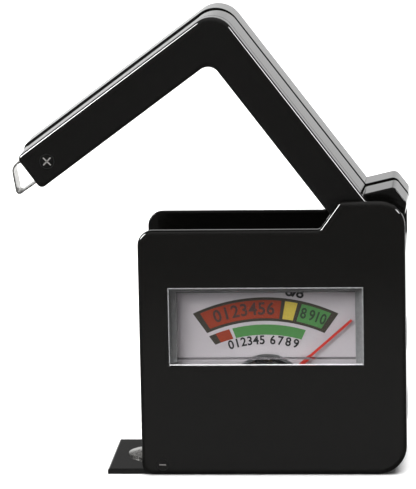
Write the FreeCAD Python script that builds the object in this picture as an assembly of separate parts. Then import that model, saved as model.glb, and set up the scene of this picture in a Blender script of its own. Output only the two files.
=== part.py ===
"""Pocket battery tester: a pointer meter in a two-shell case, with a swinging L-shaped contact arm.

Frame, in millimetres: X to the right as the dial is read, Y from the front to the back, Z up.
The origin is in the middle of the case's base, and the tester stands on Z = 0.
The arm is drawn half open, as it stands on an AA cell.
"""

import FreeCAD, Part
import math
import os

Vector = FreeCAD.Vector

# Case
CASE_LEFT = -23.5
CASE_RIGHT = 23.5
CASE_FRONT = -12.0
CASE_BACK = 12.0
FRONT_PLATE_TOP = 44.04
BACK_PLATE_DROP = 0.34
PLATE = 1.8
WALL = 1.6
SEAM = 1.6
CORNER_TOP_LEFT = 2.7
CORNER_BOTTOM_LEFT = 2.0
CORNER_BOTTOM_RIGHT = 5.2
CHANNEL_FLOOR = 39.7
LEFT_RECESS = 1.5
EDGE_ROUND = 0.9
INNER_ROUND = 0.4
SEAM_CHAMFER = 0.15
PLATE_INNER_FRONT = CASE_FRONT + PLATE
PLATE_INNER_BACK = CASE_BACK - PLATE
CORE_LEFT = CASE_LEFT + LEFT_RECESS
ROOM_LEFT = CORE_LEFT + WALL
ROOM_RIGHT = CASE_RIGHT - WALL
ROOM_FLOOR = WALL
ROOM_TOP = CHANNEL_FLOOR - WALL

# Ear of both plates that carries the arm's pin
EAR_TOP = 48.9
EAR_FOOT_X = 8.6
EAR_SHOULDER_X = 12.1
EAR_CORNER = 4.4

# Foot for the cell
FOOT_LEFT = -29.7
FOOT_TOP = 1.0
FOOT_FRONT = -11.0
FOOT_BACK = 11.0
FOOT_ROUND = 0.35

# Meter
WINDOW_X = -1.1
WINDOW_WIDTH = 34.4
WINDOW_BOTTOM = 19.8
WINDOW_TOP = 33.9
WINDOW_FIT = 0.05
COVER_PROUD = 0.1
COVER_PANE = 1.0
COVER_SIDE_WALL = 1.4
COVER_TOP_WALL = 1.0
COVER_WALL = 0.9
COVER_LEFT = -20.2
COVER_RIGHT = 17.8
COVER_BOTTOM = 6.0
COVER_TOP = 36.2
COVER_FACE = -10.1
COVER_BACK = -7.2
DIAL_FRONT = -7.6
DIAL_THICK = 0.4
DIAL_CUTOUT = 6.9
METER_Z = 14.2
FRAME_THICK = 1.2
FRAME_RIB_INSET = 2.8
FRAME_RIB_BACK = -4.6
CLAMP_POST_RADIUS = 1.2
CLAMP_POST_Z = (16.0, 32.0)

# Movement of the meter, on the line Y through (WINDOW_X, METER_Z)
YOKE_OUTER = 7.6
YOKE_INNER = 6.2
YOKE_BACK = -0.4
CORE_RADIUS = 3.9
CORE_FRONT = -5.9
CORE_BACK = -2.3
CORE_BAR = 1.4
COIL_WIDTH = 1.6
BOBBIN_REACH = 4.3
BOBBIN_THICK = 0.35
WINDING_THICK = 0.9
BOBBIN_FRONT = -6.3
BOBBIN_BACK = -1.9
SHAFT_RADIUS = 0.4
SHAFT_CLEARANCE = 0.05
JEWEL_RADIUS = 0.9
JEWEL_CUP = 0.3
BRIDGE_RADIUS = 5.95
BRIDGE_FRONT = -9.1
BRIDGE_THICK = 0.45
BRIDGE_POST_REACH = 5.8
BRIDGE_POST_RADIUS = 0.6
REAR_BRIDGE_WIDTH = 3.0
REAR_BRIDGE_THICK = 0.6
POINTER_ANGLE = 41.1
POINTER_FRONT = -8.42
POINTER_THICK = 0.25
POINTER_LENGTH = 19.9
POINTER_STEM = 9.6
POINTER_STEM_WIDTH = 0.7
POINTER_TIP_WIDTH = 0.42
POINTER_TAIL = 4.2
POINTER_TAIL_WIDTH = 1.8
POINTER_HUB = 1.1
COLLET_RADIUS = 0.75
HAIRSPRING_TURNS = 3
HAIRSPRING_INNER = 0.9
HAIRSPRING_PITCH = 0.62
HAIRSPRING_STRIP = 0.14
HAIRSPRING_WIDTH = 0.3
FRONT_HAIRSPRING_Y = -7.45
REAR_HAIRSPRING_Y = -1.0

# Arm: outer edges meet at the elbow, leg 1 runs down to the pin, leg 2 to the contact
ELBOW = (-9.05, 82.9)
LEG_1_SLOPE = 52.97
LEG_2_SLOPE = 36.25
LEG_1_WIDTH = 6.6
LEG_2_WIDTH = 6.97
LEG_2_LENGTH = 44.1
ELBOW_OUTER_ROUND = 4.2
ELBOW_INNER_ROUND = 2.2
TIP_ROUND = 0.95
ARM_FRONT = -10.0
ARM_BACK = 10.0
ARM_SKIN = 1.4
ARM_WALL = 1.3
ARM_DRAFT = 0.3
ARM_SLIDE = 0.15
ARM_STEP = 0.12
ARM_SEAM_CHAMFER = 0.2
PIN_X = 16.8
PIN_Z = 44.0
PIN_RADIUS = 1.25
PIN_CLEARANCE = 0.05
PIN_SOCKET = 1.1
PIN_END_GAP = 0.1
TAB_FRONT = -7.1
TAB_EDGE_ROUND = 0.3
TAB_ROOT = 41.9
TAB_CORNERS = ((21.55, 50.7, 0.9), (23.65, 47.95, 1.0), (23.3, 45.9, 0.8))
TAB_HEEL = (21.5, 42.8, 2.4)
WASHER_RADIUS = 3.0
WASHER_THICK = 0.4
WASHER_GAP = 0.1

# Contacts
STRIP_THICK = 0.3
STRIP_HALF_WIDTH = 2.5
STRIP_CLEARANCE = 0.5
LEAF_HALF_WIDTH = 4.8
LEAF_CENTRE_X = -22.1
LEAF_TOP = 2.0
LEAF_SAG = 0.65
LEAF_THICK = 0.3
LEAF_TAIL_X = -17.4
LEAF_TAIL_HALF_WIDTH = 2.0
SLOT_GAP = 0.1
NINE_VOLT_PITCH = 12.7
NINE_VOLT_LOW_Z = 11.5
NINE_VOLT_Y = -4.8
NINE_VOLT_HEAD = 3.0
NINE_VOLT_SHANK = 1.2

# Fasteners, parts on leads
SCREW_PLACES = ((-13.4, 3.7), (17.5, 3.9), (19.9, 34.5))
SCREW_RADIUS = 0.95
SCREW_HEAD = 1.75
SCREW_HEAD_HEIGHT = 1.2
SCREW_SEAT = 4.0
SCREW_END = -7.0
POST_RADIUS = 1.9
SLEEVE_RADIUS = 2.6
RESISTOR_RADIUS = 1.2
RESISTOR_LENGTH = 6.4
LEAD_RADIUS = 0.28
WIRE_DIAMETER = 1.0
WIRE_BEND = 1.6
LOAD_RESISTOR_X = 1.0
LOAD_RESISTOR_Z = 24.0
SERIES_RESISTOR_X = 6.5
SERIES_RESISTOR_Z = 31.5
RESISTOR_Y = 5.4
RESISTOR_LEAD = 4.0
LEAD_FOOT = RESISTOR_LENGTH / 2 + 2.0
LEAD_HOLE_X = 10.8
LEAD_HOLE_Y = 6.0
LEAD_HOLE_RADIUS = 0.8


def box(x0, x1, y0, y1, z0, z1):
    return Part.makeBox(x1 - x0, y1 - y0, z1 - z0, Vector(x0, y0, z0))


def rod(x, z, radius, y0, y1):
    """A cylinder along Y."""
    return Part.makeCylinder(radius, y1 - y0, Vector(x, y0, z), Vector(0, 1, 0))


def rod_x(y, z, radius, x0, x1):
    """A cylinder along X."""
    return Part.makeCylinder(radius, x1 - x0, Vector(x0, y, z), Vector(1, 0, 0))


def rod_z(x, y, radius, z0, z1):
    """A cylinder along Z."""
    return Part.makeCylinder(radius, z1 - z0, Vector(x, y, z0))


def polar(angle, length):
    """A step in the XZ plane; the angle is counted from +X towards +Z."""
    return length * math.cos(math.radians(angle)), length * math.sin(math.radians(angle))


def shifted(point, angle, length):
    dx, dz = polar(angle, length)
    return point[0] + dx, point[1] + dz


def rounded_wire(corners, y):
    """A closed wire in the plane Y = y through (x, z, radius) corners."""
    points = [Vector(x, y, z) for x, z, _ in corners]
    edges = []
    ends = []
    for index, corner in enumerate(points):
        radius = corners[index][2]
        before = (points[index - 1] - corner).normalize()
        after = (points[(index + 1) % len(points)] - corner).normalize()
        if radius <= 0:
            ends.append((corner, None, corner))
            continue
        half = before.getAngle(after) / 2
        reach = radius / math.tan(half)
        bisector = (before + after).normalize()
        centre = corner + bisector * (radius / math.sin(half))
        ends.append((corner + before * reach, centre - bisector * radius, corner + after * reach))
    for index, (start, middle, end) in enumerate(ends):
        if middle is not None:
            edges.append(Part.Arc(start, middle, end).toShape())
        following = ends[(index + 1) % len(ends)][0]
        if (following - end).Length > 1e-6:
            edges.append(Part.LineSegment(end, following).toShape())
    return Part.Wire(edges)


def prism(corners, y0, y1):
    return Part.Face(rounded_wire(corners, y0)).extrude(Vector(0, y1 - y0, 0))


def drafted(corners, y0, y1, grow_0, grow_1, slide_0=0, slide_1=0):
    """A prism along Y whose outline has grown, and slid square to leg 2, by these amounts at y0 and y1."""
    outline = rounded_wire(corners, 0)
    ends = []
    for y, grow, slide in ((y0, grow_0, slide_0), (y1, grow_1, slide_1)):
        end = outline.makeOffset2D(grow) if grow else outline.copy()
        x, z = shifted((0, 0), 270 + LEG_2_SLOPE, slide)
        end.translate(Vector(x, y, z))
        ends.append(end)
    return Part.makeLoft(ends, True, True)


def edges_in_plane(shape, y):
    found = []
    for edge in shape.Edges:
        bounds = edge.BoundBox
        if abs(bounds.YMin - y) < 1e-4 and abs(bounds.YMax - y) < 1e-4:
            found.append(edge)
    return found


def turned(shape, angle, x, z):
    """Turn a shape about the line Y through (x, z); a positive angle goes from +X towards +Z."""
    result = shape.copy()
    result.rotate(Vector(x, 0, z), Vector(0, -1, 0), angle)
    return result


def strip_corners(path, thickness):
    """Corners of a bent strip's side face; path holds (x, z, inside bend radius) points."""
    half = thickness / 2
    sides = {1: [], -1: []}
    count = len(path)
    for index, (x, z, radius) in enumerate(path):
        here = Vector(x, 0, z)
        back = here - Vector(path[max(index - 1, 0)][0], 0, path[max(index - 1, 0)][1])
        ahead = Vector(path[min(index + 1, count - 1)][0], 0, path[min(index + 1, count - 1)][1]) - here
        if index == 0:
            back = ahead
        if index == count - 1:
            ahead = back
        back.normalize()
        ahead.normalize()
        turn = back.x * ahead.z - back.z * ahead.x
        normal_back = Vector(-back.z, 0, back.x)
        normal_ahead = Vector(-ahead.z, 0, ahead.x)
        mitre = (normal_back + normal_ahead) * (half / (1 + normal_back.dot(normal_ahead)))
        for side in (1, -1):
            point = here + mitre * side
            inside = turn * side > 0
            bend = radius if inside else radius + thickness
            if radius == 0:
                bend = 0
            sides[side].append((point.x, point.z, bend))
    return sides[1] + sides[-1][::-1]


def wire_tube(points, diameter=WIRE_DIAMETER, bend=WIRE_BEND):
    """A round wire along straight runs joined by tangent arcs."""
    corners = [Vector(*point) for point in points]
    edges = []
    start = corners[0]
    for index in range(1, len(corners) - 1):
        corner = corners[index]
        before = (corners[index - 1] - corner).normalize()
        after = (corners[index + 1] - corner).normalize()
        half = before.getAngle(after) / 2
        reach = bend / math.tan(half)
        bisector = (before + after).normalize()
        middle = corner + bisector * (bend / math.sin(half) - bend)
        edges.append(Part.LineSegment(start, corner + before * reach).toShape())
        edges.append(Part.Arc(corner + before * reach, middle, corner + after * reach).toShape())
        start = corner + after * reach
    edges.append(Part.LineSegment(start, corners[-1]).toShape())
    path = Part.Wire(edges)
    direction = (corners[1] - corners[0]).normalize()
    profile = Part.Wire([Part.makeCircle(diameter / 2, corners[0], direction)])
    return path.makePipeShell([profile], True, False)


# Case shells

def plate_corners(drop):
    top = FRONT_PLATE_TOP - drop
    ear = EAR_TOP - drop
    return [
        (CASE_LEFT, 0, CORNER_BOTTOM_LEFT),
        (CASE_RIGHT, 0, CORNER_BOTTOM_RIGHT),
        (CASE_RIGHT, ear, EAR_CORNER),
        (EAR_SHOULDER_X, ear, 1.0),
        (EAR_FOOT_X, top, 0.8),
        (CASE_LEFT, top, CORNER_TOP_LEFT),
    ]


def core_corners(inset):
    return [
        (CORE_LEFT + inset, inset, 0.4),
        (CASE_RIGHT - inset, inset, CORNER_BOTTOM_RIGHT - inset),
        (CASE_RIGHT - inset, CHANNEL_FLOOR - inset, 0.4),
        (CORE_LEFT + inset, CHANNEL_FLOOR - inset, 0.4),
    ]


def half_case(outer_face, plate_inside, foot_end, drop):
    """Plate, hollow core and half of the foot, between the seam and one outer face."""
    plate = prism(plate_corners(drop), *sorted((outer_face, plate_inside)))
    plate = plate.makeFillet(EDGE_ROUND, edges_in_plane(plate, outer_face))
    plate = plate.makeFillet(INNER_ROUND, edges_in_plane(plate, plate_inside))
    core = prism(core_corners(0), *sorted((plate_inside, SEAM)))
    core = core.makeChamfer(SEAM_CHAMFER, edges_in_plane(core, SEAM))
    foot_corners = [
        (FOOT_LEFT, 0, 0),
        (CORE_LEFT + 1, 0, 0),
        (CORE_LEFT + 1, FOOT_TOP, 0),
        (FOOT_LEFT, FOOT_TOP, FOOT_ROUND),
    ]
    foot = prism(foot_corners, *sorted((foot_end, SEAM)))
    past_seam = SEAM + (1 if plate_inside < SEAM else -1)
    room = prism(core_corners(WALL), *sorted((plate_inside, past_seam)))
    shell = plate.fuse([core, foot]).cut(room)
    half = LEAF_HALF_WIDTH + SLOT_GAP
    leaf_slot = box(CORE_LEFT - 1, ROOM_LEFT + 1, -half, half,
                    LEAF_TOP - LEAF_THICK - SLOT_GAP, LEAF_TOP + SLOT_GAP)
    return shell.cut(leaf_slot)


def sign_ring(x, z, radius, width, y0, y1):
    return rod(x, z, radius, y0, y1).cut(rod(x, z, radius - width, y0, y1))


def front_shell():
    shell = half_case(CASE_FRONT, PLATE_INNER_FRONT, FOOT_FRONT, 0)
    half = WINDOW_WIDTH / 2
    window = box(WINDOW_X - half, WINDOW_X + half, CASE_FRONT - 1, PLATE_INNER_FRONT + 0.5,
                 WINDOW_BOTTOM, WINDOW_TOP)
    shell = shell.cut(window)
    for x, z in SCREW_PLACES:
        shell = shell.fuse(rod(x, z, POST_RADIUS, PLATE_INNER_FRONT - 0.3, SEAM))
    for x, z in SCREW_PLACES:
        shell = shell.cut(rod(x, z, SCREW_RADIUS, SCREW_END - 0.5, SEAM))
    shell = shell.cut(rod(PIN_X, PIN_Z, PIN_RADIUS + PIN_CLEARANCE,
                          PLATE_INNER_FRONT - PIN_SOCKET, PLATE_INNER_FRONT))
    for z in (NINE_VOLT_LOW_Z, NINE_VOLT_LOW_Z + NINE_VOLT_PITCH):
        shell = shell.cut(rod_x(NINE_VOLT_Y, z, NINE_VOLT_HEAD + 0.1, CASE_RIGHT - 0.7, CASE_RIGHT + 1))
        shell = shell.cut(rod_x(NINE_VOLT_Y, z, NINE_VOLT_SHANK, ROOM_RIGHT - 1, CASE_RIGHT))
    mark_depth = CASE_FRONT + 0.12
    minus_x = CASE_LEFT + 3.7
    minus_z = 1.9
    mark = sign_ring(minus_x, minus_z, 1.15, 0.18, CASE_FRONT - 1, mark_depth)
    mark = mark.fuse(box(minus_x - 0.6, minus_x + 0.6, CASE_FRONT - 1, mark_depth,
                         minus_z - 0.12, minus_z + 0.12))
    return shell.cut(mark).removeSplitter()


def back_shell():
    shell = half_case(CASE_BACK, PLATE_INNER_BACK, FOOT_BACK, BACK_PLATE_DROP)
    for x, z in SCREW_PLACES:
        sleeve = rod(x, z, SLEEVE_RADIUS, SEAM, PLATE_INNER_BACK + 0.3)
        shell = shell.fuse(sleeve)
    for x in (COVER_LEFT + FRAME_RIB_INSET, COVER_RIGHT - FRAME_RIB_INSET):
        for z in CLAMP_POST_Z:
            shell = shell.fuse(rod(x, z, CLAMP_POST_RADIUS, FRAME_RIB_BACK, PLATE_INNER_BACK + 0.3))
    below_base = box(CASE_LEFT, CASE_RIGHT, SEAM - 1, CASE_BACK, -SLEEVE_RADIUS, 0)
    shell = shell.cut(below_base)
    for x, z in SCREW_PLACES:
        shell = shell.cut(rod(x, z, SCREW_HEAD + 0.1, SCREW_SEAT, CASE_BACK + 1))
        shell = shell.cut(rod(x, z, SCREW_RADIUS + 0.1, SEAM - 1, SCREW_SEAT))
    shell = shell.cut(rod(PIN_X, PIN_Z, PIN_RADIUS + PIN_CLEARANCE,
                          PLATE_INNER_BACK, PLATE_INNER_BACK + PIN_SOCKET))
    lead_hole = rod_z(LEAD_HOLE_X, LEAD_HOLE_Y, LEAD_HOLE_RADIUS, ROOM_TOP - 0.5, CHANNEL_FLOOR + 0.5)
    return shell.cut(lead_hole).removeSplitter()


def case_screws():
    screws = []
    for x, z in SCREW_PLACES:
        screw = rod(x, z, SCREW_RADIUS, SCREW_END, SCREW_SEAT)
        head = rod(x, z, SCREW_HEAD, SCREW_SEAT, SCREW_SEAT + SCREW_HEAD_HEIGHT)
        head = head.makeFillet(0.4, edges_in_plane(head, SCREW_SEAT + SCREW_HEAD_HEIGHT))
        screw = screw.fuse(head)
        for long_x, long_z in ((1.0, 0.2), (0.2, 1.0)):
            screw = screw.cut(box(x - long_x, x + long_x, SCREW_SEAT + 0.5, SCREW_SEAT + 2,
                                  z - long_z, z + long_z))
        screws.append(screw.removeSplitter())
    return Part.makeCompound(screws)


# Meter

def meter_cover():
    half = WINDOW_WIDTH / 2 - WINDOW_FIT
    low = WINDOW_BOTTOM + WINDOW_FIT
    high = WINDOW_TOP - WINDOW_FIT
    front = CASE_FRONT - COVER_PROUD
    face_back = COVER_FACE + COVER_WALL
    nose = box(WINDOW_X - half, WINDOW_X + half, front, face_back, low, high)
    nose = nose.makeFillet(0.3, edges_in_plane(nose, front))
    flange = box(COVER_LEFT, COVER_RIGHT, COVER_FACE, COVER_BACK, COVER_BOTTOM, COVER_TOP)
    nose_room = box(WINDOW_X - half + COVER_SIDE_WALL, WINDOW_X + half - COVER_SIDE_WALL,
                    front + COVER_PANE, COVER_BACK, low + COVER_TOP_WALL, high - COVER_TOP_WALL)
    flange_room = box(COVER_LEFT + COVER_WALL, COVER_RIGHT - COVER_WALL, face_back, COVER_BACK,
                      COVER_BOTTOM + COVER_WALL, COVER_TOP - COVER_WALL)
    return nose.fuse(flange).cut(nose_room).cut(flange_room).removeSplitter()


def dial_plate():
    gap = 0.1
    plate = box(COVER_LEFT + COVER_WALL + gap, COVER_RIGHT - COVER_WALL - gap,
                DIAL_FRONT, DIAL_FRONT + DIAL_THICK,
                COVER_BOTTOM + COVER_WALL + gap, COVER_TOP - COVER_WALL - gap)
    return plate.cut(rod(WINDOW_X, METER_Z, DIAL_CUTOUT, DIAL_FRONT - 1, DIAL_FRONT + 1))


def meter_frame():
    plate = box(COVER_LEFT, COVER_RIGHT, COVER_BACK, COVER_BACK + FRAME_THICK, COVER_BOTTOM, COVER_TOP)
    hub_depth = 4.0
    plate = plate.fuse(rod(WINDOW_X, METER_Z, YOKE_OUTER + 0.9, COVER_BACK, COVER_BACK + hub_depth)
                       .common(box(COVER_LEFT, COVER_RIGHT, COVER_BACK, COVER_BACK + hub_depth,
                                   COVER_BOTTOM, COVER_TOP)))
    plate = plate.cut(rod(WINDOW_X, METER_Z, YOKE_OUTER, COVER_BACK - 1, COVER_BACK + hub_depth + 1))
    for x in (COVER_LEFT + FRAME_RIB_INSET, COVER_RIGHT - FRAME_RIB_INSET):
        plate = plate.fuse(box(x - 0.6, x + 0.6, COVER_BACK + FRAME_THICK, FRAME_RIB_BACK,
                               COVER_BOTTOM + 1, COVER_TOP - 1))
    return plate.removeSplitter()


def yoke_ring():
    ring = rod(WINDOW_X, METER_Z, YOKE_OUTER, COVER_BACK, YOKE_BACK)
    return ring.cut(rod(WINDOW_X, METER_Z, YOKE_INNER, COVER_BACK - 1, YOKE_BACK + 1))


def core_bars():
    """Two short brass bars that hold the magnet in the middle of the ring."""
    middle = (CORE_FRONT + CORE_BACK) / 2
    bars = []
    for sign in (1, -1):
        z0 = METER_Z + sign * (CORE_RADIUS - 0.2)
        z1 = METER_Z + sign * (YOKE_INNER + 0.1)
        bar = box(WINDOW_X - CORE_BAR / 2, WINDOW_X + CORE_BAR / 2, middle - 0.7, middle + 0.7,
                  min(z0, z1), max(z0, z1))
        bar = bar.cut(rod(WINDOW_X, METER_Z, CORE_RADIUS, CORE_FRONT, CORE_BACK))
        bar = bar.common(rod(WINDOW_X, METER_Z, YOKE_INNER, CORE_FRONT, CORE_BACK))
        bars.append(bar)
    return Part.makeCompound(bars)


def core_magnet():
    return rod(WINDOW_X, METER_Z, CORE_RADIUS, CORE_FRONT, CORE_BACK)


def coil_frame(inner_reach, thickness, front, back):
    """A rectangular frame round the magnet, square to the pointer."""
    outer = box(WINDOW_X - inner_reach - thickness, WINDOW_X + inner_reach + thickness,
                front - thickness, back + thickness,
                METER_Z - COIL_WIDTH / 2, METER_Z + COIL_WIDTH / 2)
    inner = box(WINDOW_X - inner_reach, WINDOW_X + inner_reach, front, back,
                METER_Z - COIL_WIDTH, METER_Z + COIL_WIDTH)
    return turned(outer.cut(inner), POINTER_ANGLE - 90, WINDOW_X, METER_Z)


def coil_bobbin():
    return coil_frame(BOBBIN_REACH, BOBBIN_THICK, BOBBIN_FRONT, BOBBIN_BACK)


def coil_winding():
    winding_front = BOBBIN_FRONT - BOBBIN_THICK
    winding_back = BOBBIN_BACK + BOBBIN_THICK
    shape = coil_frame(BOBBIN_REACH + BOBBIN_THICK, WINDING_THICK, winding_front, winding_back)
    keep = rod(WINDOW_X, METER_Z, YOKE_INNER - 0.3, winding_front - 0.45, winding_back + 0.45)
    return shape.common(keep)


def pointer_shaft():
    winding_front = BOBBIN_FRONT - BOBBIN_THICK - 0.45
    winding_back = BOBBIN_BACK + BOBBIN_THICK + 0.45
    cup_front = BRIDGE_FRONT + BRIDGE_THICK + 0.05 - JEWEL_CUP + 0.05
    front = rod(WINDOW_X, METER_Z, SHAFT_RADIUS, cup_front, winding_front)
    front = front.fuse(rod(WINDOW_X, METER_Z, COLLET_RADIUS, FRONT_HAIRSPRING_Y - 0.1, winding_front))
    rear = rod(WINDOW_X, METER_Z, SHAFT_RADIUS, winding_back, YOKE_BACK - 0.1 + JEWEL_CUP - 0.05)
    rear = rear.fuse(rod(WINDOW_X, METER_Z, COLLET_RADIUS, winding_back, REAR_HAIRSPRING_Y + 0.35))
    return Part.makeCompound([front.removeSplitter(), rear.removeSplitter()])


def pointer():
    y0 = POINTER_FRONT
    y1 = POINTER_FRONT + POINTER_THICK
    stem = POINTER_STEM_WIDTH / 2
    tip = POINTER_TIP_WIDTH / 2
    tail = POINTER_TAIL_WIDTH / 2
    outline = [
        (-POINTER_TAIL, -tail, 0.5),
        (-POINTER_TAIL + 1.6, -tail, 0.3),
        (-POINTER_TAIL + 2.2, -stem, 0.3),
        (POINTER_STEM, -stem, 0),
        (POINTER_STEM + 0.7, -tip, 0),
        (POINTER_LENGTH, -tip, 0),
        (POINTER_LENGTH, tip, 0),
        (POINTER_STEM + 0.7, tip, 0),
        (POINTER_STEM, stem, 0),
        (-POINTER_TAIL + 2.2, stem, 0.3),
        (-POINTER_TAIL + 1.6, tail, 0.3),
        (-POINTER_TAIL, tail, 0.5),
    ]
    corners = [(WINDOW_X + x, METER_Z + z, radius) for x, z, radius in outline]
    needle = prism(corners, y0, y1)
    needle = needle.fuse(rod(WINDOW_X, METER_Z, POINTER_HUB, y0, y1 + 0.2))
    needle = needle.cut(rod(WINDOW_X, METER_Z, SHAFT_RADIUS, y0 - 1, y1 + 1))
    return turned(needle.removeSplitter(), POINTER_ANGLE, WINDOW_X, METER_Z)


def movement_bridge():
    y1 = BRIDGE_FRONT + BRIDGE_THICK
    disc = rod(WINDOW_X, METER_Z, BRIDGE_RADIUS, BRIDGE_FRONT, y1)
    disc = disc.makeFillet(0.3, edges_in_plane(disc, BRIDGE_FRONT))
    for sign in (1, -1):
        disc = disc.fuse(rod(WINDOW_X + sign * BRIDGE_POST_REACH, METER_Z, BRIDGE_POST_RADIUS,
                             BRIDGE_FRONT + 0.3, COVER_BACK))
    return disc.cut(rod(WINDOW_X, METER_Z, JEWEL_RADIUS, BRIDGE_FRONT - 1, y1 + 1)).removeSplitter()


def rear_bridge():
    bar = box(WINDOW_X - YOKE_OUTER, WINDOW_X + YOKE_OUTER, YOKE_BACK, YOKE_BACK + REAR_BRIDGE_THICK,
              METER_Z - REAR_BRIDGE_WIDTH / 2, METER_Z + REAR_BRIDGE_WIDTH / 2)
    return bar.cut(rod(WINDOW_X, METER_Z, JEWEL_RADIUS, YOKE_BACK - 1, YOKE_BACK + 2))


def jewel_screw(y0, y1, cup_at_high_y):
    screw = rod(WINDOW_X, METER_Z, JEWEL_RADIUS, y0, y1)
    cup = SHAFT_RADIUS + SHAFT_CLEARANCE
    slot_depth = 0.12
    if cup_at_high_y:
        screw = screw.cut(rod(WINDOW_X, METER_Z, cup, y1 - JEWEL_CUP, y1 + 1))
        slot = box(WINDOW_X - 1, WINDOW_X + 1, y0 - 1, y0 + slot_depth, METER_Z - 0.12, METER_Z + 0.12)
    else:
        screw = screw.cut(rod(WINDOW_X, METER_Z, cup, y0 - 1, y0 + JEWEL_CUP))
        slot = box(WINDOW_X - 1, WINDOW_X + 1, y1 - slot_depth, y1 + 1, METER_Z - 0.12, METER_Z + 0.12)
    return screw.cut(slot)


def hairspring(y0):
    """A flat spiral made of half circles that grow by half a pitch each."""
    half = HAIRSPRING_STRIP / 2
    lines = {}
    for side in (-half, half):
        centre_x = WINDOW_X
        radius = HAIRSPRING_INNER + side
        sign = 1
        edges = []
        for _ in range(2 * HAIRSPRING_TURNS):
            start = Vector(centre_x + sign * radius, y0, METER_Z)
            middle = Vector(centre_x, y0, METER_Z + sign * radius)
            end = Vector(centre_x - sign * radius, y0, METER_Z)
            edges.append(Part.Arc(start, middle, end).toShape())
            centre_x += sign * HAIRSPRING_PITCH / 4
            radius += HAIRSPRING_PITCH / 4
            sign = -sign
        lines[side] = edges
    inner_ends = [lines[side][0].Vertexes[0].Point for side in (-half, half)]
    outer_ends = [lines[side][-1].Vertexes[-1].Point for side in (-half, half)]
    caps = [Part.LineSegment(*inner_ends).toShape(), Part.LineSegment(*outer_ends).toShape()]
    wire = Part.Wire(Part.__sortEdges__(lines[-half] + lines[half] + caps))
    return Part.Face(wire).extrude(Vector(0, HAIRSPRING_WIDTH, 0))


# Contacts

def negative_contact():
    """A sprung leaf: a shallow dome with a round end on the foot, and a flat tail in the case."""
    dome_radius = (LEAF_HALF_WIDTH ** 2 + LEAF_SAG ** 2) / (2 * LEAF_SAG)
    centre = Vector(LEAF_CENTRE_X, 0, LEAF_TOP - dome_radius)
    dome = Part.makeSphere(dome_radius, centre).cut(Part.makeSphere(dome_radius - LEAF_THICK, centre))
    round_end = Part.makeCylinder(LEAF_HALF_WIDTH, LEAF_TOP + 1, Vector(LEAF_CENTRE_X, 0, 0.2))
    outside = box(LEAF_CENTRE_X - 10, LEAF_CENTRE_X, -10, 10, 0, LEAF_TOP + 1)
    dome = dome.common(round_end).common(outside)
    bottom = LEAF_TOP - LEAF_THICK
    tail = box(LEAF_CENTRE_X, LEAF_TAIL_X, -LEAF_TAIL_HALF_WIDTH, LEAF_TAIL_HALF_WIDTH, bottom, LEAF_TOP)
    tail = tail.cut(rod_z(LEAF_TAIL_X - 1.2, 0, 0.5, bottom - 1, LEAF_TOP + 1))
    return dome.fuse(tail).removeSplitter()


def nine_volt_contact(z):
    head = rod_x(NINE_VOLT_Y, z, NINE_VOLT_HEAD, CASE_RIGHT - 0.7, CASE_RIGHT - 0.1)
    head = head.cut(rod_x(NINE_VOLT_Y, z, NINE_VOLT_HEAD - 1.0, CASE_RIGHT - 0.3, CASE_RIGHT + 1))
    shank = rod_x(NINE_VOLT_Y, z, NINE_VOLT_SHANK, ROOM_RIGHT - 0.8, CASE_RIGHT - 0.6)
    tag = box(ROOM_RIGHT - 0.4, ROOM_RIGHT, NINE_VOLT_Y - 1.8, NINE_VOLT_Y + 4.5, z - 1.8, z + 1.8)
    return head.fuse([shank, tag]).removeSplitter()


def leg_2_point(along, across):
    """A point on leg 2: along from the elbow to the tip, across from the outer to the inner edge."""
    point = shifted(ELBOW, 180 + LEG_2_SLOPE, along)
    return shifted(point, LEG_2_SLOPE - 90, across)


def positive_contact():
    """A nickel strip: fixed under the arm's roof, looped out of its end and back along its open side."""
    end = LEG_2_LENGTH
    stations = [
        (end - 9.0, 2.0, 0),
        (end - 0.6, 2.0, 1.0),
        (end + 2.9, 0.9, 1.5),
        (end + 5.4, 5.8, 0.35),
        (end + 0.5, 5.95, 1.2),
        (end - 11.0, 5.95, 0.8),
        (end - 13.0, 4.2, 0),
    ]
    path = [leg_2_point(along, across) + (radius,) for along, across, radius in stations]
    return prism(strip_corners(path, STRIP_THICK), -STRIP_HALF_WIDTH, STRIP_HALF_WIDTH)


# Arm

def arm_corners(with_tab):
    """The arm's outline, from the inner corner of the tip round the elbow to the pin."""
    tip_outer = leg_2_point(LEG_2_LENGTH, 0)
    tip_inner = leg_2_point(LEG_2_LENGTH, LEG_2_WIDTH)
    down = -LEG_1_SLOPE
    inner_line = shifted(ELBOW, down - 90, LEG_1_WIDTH)
    reach = (PIN_X - ELBOW[0]) * math.cos(math.radians(down)) + (PIN_Z - ELBOW[1]) * math.sin(
        math.radians(down))
    pin_to_inner = LEG_1_WIDTH - pin_depth()
    heel_inner = shifted(inner_line, down, reach + pin_to_inner)
    heel_outer = shifted(ELBOW, down, reach + pin_to_inner)
    elbow_angle = math.radians(180 - LEG_1_SLOPE - LEG_2_SLOPE)
    inner_along = (LEG_1_WIDTH + LEG_2_WIDTH * math.cos(elbow_angle)) / math.sin(elbow_angle)
    elbow_inner = leg_2_point(inner_along, LEG_2_WIDTH)
    corners = [tip_inner + (TIP_ROUND,), tip_outer + (TIP_ROUND,), ELBOW + (ELBOW_OUTER_ROUND,)]
    if with_tab:
        root = shifted(ELBOW, down, TAB_ROOT)
        corners += [root + (0.4,)] + list(TAB_CORNERS) + [TAB_HEEL]
    else:
        corners.append(heel_outer + (pin_depth() - 0.1,))
    corners.append(heel_inner + (pin_to_inner - 0.05,))
    corners.append(elbow_inner + (ELBOW_INNER_ROUND,))
    return corners


def pin_depth():
    """How far the pin's axis lies inside the outer edge of leg 1."""
    down = math.radians(-LEG_1_SLOPE)
    dx = PIN_X - ELBOW[0]
    dz = PIN_Z - ELBOW[1]
    return abs(dx * math.sin(down) - dz * math.cos(down))


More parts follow.
